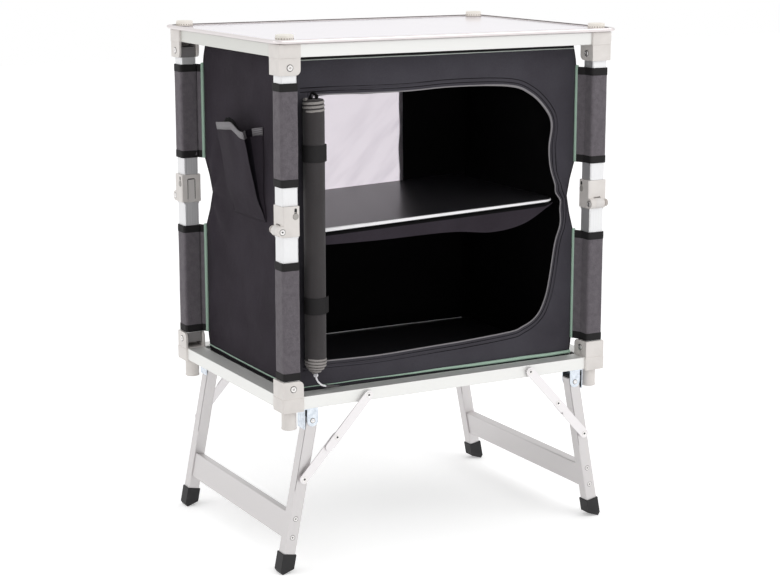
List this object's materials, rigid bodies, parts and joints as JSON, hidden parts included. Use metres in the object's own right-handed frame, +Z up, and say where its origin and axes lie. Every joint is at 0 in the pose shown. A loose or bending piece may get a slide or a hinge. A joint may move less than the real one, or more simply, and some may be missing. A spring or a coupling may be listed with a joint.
{
  "type": "folding camping cupboard",
  "caption": "Folding camping cupboard: worktop on hinged locking corner posts, cloth cabinet with shelf and rolled-up door, and splayed braced legs.",
  "frame": {"origin": "on the ground under the middle of the cupboard", "axes": "+X to the cupboard's right side, -Y to its front where the door is, +Z up"},
  "size_m": [0.6068, 0.4288, 0.8367],
  "materials": {
    "board_white": "glossy laminate",
    "aluminium": "satin anodised",
    "grey_plastic": "satin moulded nylon",
    "button_plastic": "satin moulded nylon",
    "black_plastic": "matte moulded",
    "zinc_steel": "bright zinc plating",
    "black_board": "satin laminate",
    "charcoal_cloth": "plain weave polyester"
  },
  "bodies": {
    "bottom_frame": {"bottom_rail_front": "aluminium", "bottom_rail_right": "aluminium", "bottom_rail_rear": "aluminium", "bottom_rail_left": "aluminium", "bottom_corner_fl": "grey_plastic", "bottom_corner_fr": "grey_plastic", "bottom_corner_rr": "grey_plastic", "bottom_corner_rl": "grey_plastic", "floor_board": "black_board", "leg_bracket_fl": "zinc_steel", "leg_bracket_fr": "zinc_steel", "leg_bracket_rr": "zinc_steel", "leg_bracket_rl": "zinc_steel", "cabinet_cover": "charcoal_cloth", "door_roll": "charcoal_cloth"},
    "top_frame": {"worktop_board": "board_white", "worktop_trim": "aluminium", "top_rail_front": "aluminium", "top_rail_right": "aluminium", "top_rail_rear": "aluminium", "top_rail_left": "aluminium", "top_corner_fl": "grey_plastic", "top_corner_fr": "grey_plastic", "top_corner_rr": "grey_plastic", "top_corner_rl": "grey_plastic"},
    "lower_post_fl": {"post_lower_fl": "aluminium"},
    "lower_post_fr": {"post_lower_fr": "aluminium"},
    "lower_post_rr": {"post_lower_rr": "aluminium"},
    "lower_post_rl": {"post_lower_rl": "aluminium"},
    "upper_post_fl": {"post_upper_fl": "aluminium", "lock_housing_fl": "grey_plastic"},
    "upper_post_fr": {"post_upper_fr": "aluminium", "lock_housing_fr": "grey_plastic"},
    "upper_post_rr": {"post_upper_rr": "aluminium", "lock_housing_rr": "grey_plastic"},
    "upper_post_rl": {"post_upper_rl": "aluminium", "lock_housing_rl": "grey_plastic"},
    "button_fl": {"lock_button_fl": "button_plastic"},
    "button_fr": {"lock_button_fr": "button_plastic"},
    "button_rr": {"lock_button_rr": "button_plastic"},
    "button_rl": {"lock_button_rl": "button_plastic"},
    "shelf": {"shelf_board": "black_board"},
    "left_legs": {"leg_fl": "aluminium", "leg_rl": "aluminium", "foot_fl": "black_plastic", "foot_rl": "black_plastic", "leg_crossbar_left": "aluminium"},
    "right_legs": {"leg_fr": "aluminium", "leg_rr": "aluminium", "foot_fr": "black_plastic", "foot_rr": "black_plastic", "leg_crossbar_right": "aluminium"},
    "rail_link_fl": {"brace_upper_fl": "aluminium"},
    "rail_link_fr": {"brace_upper_fr": "aluminium"},
    "rail_link_rr": {"brace_upper_rr": "aluminium"},
    "rail_link_rl": {"brace_upper_rl": "aluminium"},
    "leg_link_fl": {"brace_lower_fl": "aluminium"},
    "leg_link_fr": {"brace_lower_fr": "aluminium"},
    "leg_link_rr": {"brace_lower_rr": "aluminium"},
    "leg_link_rl": {"brace_lower_rl": "aluminium"}
  },
  "joints": [
    {"name": "post_fold_fl", "type": "hinge", "parent": "bottom_frame", "child": "lower_post_fl", "pos_m": [-0.28, -0.191, 0.2987], "axis": [0, 1, 0], "range_deg": [0, 90], "deforming": ["cabinet_cover", "door_roll"]},
    {"name": "post_fold_fr", "type": "hinge", "parent": "bottom_frame", "child": "lower_post_fr", "pos_m": [0.28, -0.191, 0.2987], "axis": [-1, 0, 0], "range_deg": [0, 90]},
    {"name": "post_fold_rr", "type": "hinge", "parent": "bottom_frame", "child": "lower_post_rr", "pos_m": [0.28, 0.191, 0.2987], "axis": [0, -1, 0], "range_deg": [0, 90]},
    {"name": "post_fold_rl", "type": "hinge", "parent": "bottom_frame", "child": "lower_post_rl", "pos_m": [-0.28, 0.191, 0.2987], "axis": [1, 0, 0], "range_deg": [0, 90]},
    {"name": "lock_hinge_fl", "type": "hinge", "parent": "lower_post_fl", "child": "upper_post_fl", "pos_m": [-0.2952, -0.191, 0.5437], "axis": [0, -1, 0], "range_deg": [0, 180]},
    {"name": "lock_hinge_fr", "type": "hinge", "parent": "lower_post_fr", "child": "upper_post_fr", "pos_m": [0.28, -0.2062, 0.5437], "axis": [1, 0, 0], "range_deg": [0, 180]},
    {"name": "lock_hinge_rr", "type": "hinge", "parent": "lower_post_rr", "child": "upper_post_rr", "pos_m": [0.2952, 0.191, 0.5437], "axis": [0, 1, 0], "range_deg": [0, 180]},
    {"name": "lock_hinge_rl", "type": "hinge", "parent": "lower_post_rl", "child": "upper_post_rl", "pos_m": [-0.28, 0.2062, 0.5437], "axis": [-1, 0, 0], "range_deg": [0, 180]},
    {"name": "top_frame_hinge", "type": "hinge", "parent": "upper_post_fl", "child": "top_frame", "pos_m": [-0.28, -0.191, 0.7887], "axis": [0, 1, 0], "range_deg": [0, 90]},
    {"name": "shelf_drop", "type": "slide", "parent": "bottom_frame", "child": "shelf", "axis": [0, 0, -1], "range_m": [0, 0.235]},
    {"name": "button_press_fl", "type": "slide", "parent": "upper_post_fl", "child": "button_fl", "axis": [0, 1, 0], "range_m": [0, 0.0035], "stiffness_N_per_m": 400},
    {"name": "button_press_fr", "type": "slide", "parent": "upper_post_fr", "child": "button_fr", "axis": [1, 0, 0], "range_m": [0, 0.0035], "stiffness_N_per_m": 400},
    {"name": "button_press_rr", "type": "slide", "parent": "upper_post_rr", "child": "button_rr", "axis": [0, -1, 0], "range_m": [0, 0.0035], "stiffness_N_per_m": 400},
    {"name": "button_press_rl", "type": "slide", "parent": "upper_post_rl", "child": "button_rl", "axis": [1, 0, 0], "range_m": [0, 0.0035], "stiffness_N_per_m": 400},
    {"name": "leg_fold_left", "type": "hinge", "parent": "bottom_frame", "child": "left_legs", "pos_m": [-0.245, 0, 0.2433], "axis": [0, -1, 0], "range_deg": [0, 97.5]},
    {"name": "leg_fold_right", "type": "hinge", "parent": "bottom_frame", "child": "right_legs", "pos_m": [0.245, 0, 0.2433], "axis": [0, 1, 0], "range_deg": [0, 102.5]},
    {"name": "brace_rail_pivot_fl", "type": "hinge", "parent": "bottom_frame", "child": "rail_link_fl", "pos_m": [-0.1507, -0.2108, 0.274], "axis": [0, 1, 0], "range_deg": [0, 37.5]},
    {"name": "brace_rail_pivot_rl", "type": "hinge", "parent": "bottom_frame", "child": "rail_link_rl", "pos_m": [-0.1507, 0.2108, 0.274], "axis": [0, 1, 0], "range_deg": [0, 37.5]},
    {"name": "brace_rail_pivot_fr", "type": "hinge", "parent": "bottom_frame", "child": "rail_link_fr", "pos_m": [0.1507, -0.2108, 0.274], "axis": [0, -1, 0], "range_deg": [0, 40.9]},
    {"name": "brace_rail_pivot_rr", "type": "hinge", "parent": "bottom_frame", "child": "rail_link_rr", "pos_m": [0.1507, 0.2108, 0.274], "axis": [0, -1, 0], "range_deg": [0, 40.9]},
    {"name": "brace_knee_fl", "type": "hinge", "parent": "rail_link_fl", "child": "leg_link_fl", "pos_m": [-0.20669, -0.2076, 0.21315], "axis": [0, -1, 0], "range_deg": [0, 154.7]},
    {"name": "brace_knee_rl", "type": "hinge", "parent": "rail_link_rl", "child": "leg_link_rl", "pos_m": [-0.20669, 0.2076, 0.21315], "axis": [0, -1, 0], "range_deg": [0, 154.7]},
    {"name": "brace_knee_fr", "type": "hinge", "parent": "rail_link_fr", "child": "leg_link_fr", "pos_m": [0.20669, -0.2076, 0.21315], "axis": [0, 1, 0], "range_deg": [0, 160.4]},
    {"name": "brace_knee_rr", "type": "hinge", "parent": "rail_link_rr", "child": "leg_link_rr", "pos_m": [0.20669, 0.2076, 0.21315], "axis": [0, 1, 0], "range_deg": [0, 160.4]}
  ],
  "couplings": [
    {"joint": "post_fold_fr", "follows": "post_fold_fl", "ratio": 1},
    {"joint": "post_fold_rr", "follows": "post_fold_fl", "ratio": 1},
    {"joint": "post_fold_rl", "follows": "post_fold_fl", "ratio": 1},
    {"joint": "lock_hinge_fl", "follows": "post_fold_fl", "ratio": 2},
    {"joint": "lock_hinge_fr", "follows": "post_fold_fl", "ratio": 2},
    {"joint": "lock_hinge_rr", "follows": "post_fold_fl", "ratio": 2},
    {"joint": "lock_hinge_rl", "follows": "post_fold_fl", "ratio": 2},
    {"joint": "top_frame_hinge", "follows": "post_fold_fl", "ratio": 1},
    {"joint": "shelf_drop", "follows": "post_fold_fl", "m_per_rad": 0.1496},
    {"joint": "brace_rail_pivot_fl", "follows": "leg_fold_left", "ratio": 0.38416},
    {"joint": "brace_rail_pivot_rl", "follows": "leg_fold_left", "ratio": 0.38416},
    {"joint": "brace_knee_fl", "follows": "leg_fold_left", "ratio": 1.5853},
    {"joint": "brace_knee_rl", "follows": "leg_fold_left", "ratio": 1.5853},
    {"joint": "brace_rail_pivot_fr", "follows": "leg_fold_right", "ratio": 0.39826},
    {"joint": "brace_rail_pivot_rr", "follows": "leg_fold_right", "ratio": 0.39826},
    {"joint": "brace_knee_fr", "follows": "leg_fold_right", "ratio": 1.5637},
    {"joint": "brace_knee_rr", "follows": "leg_fold_right", "ratio": 1.5637}
  ]
}
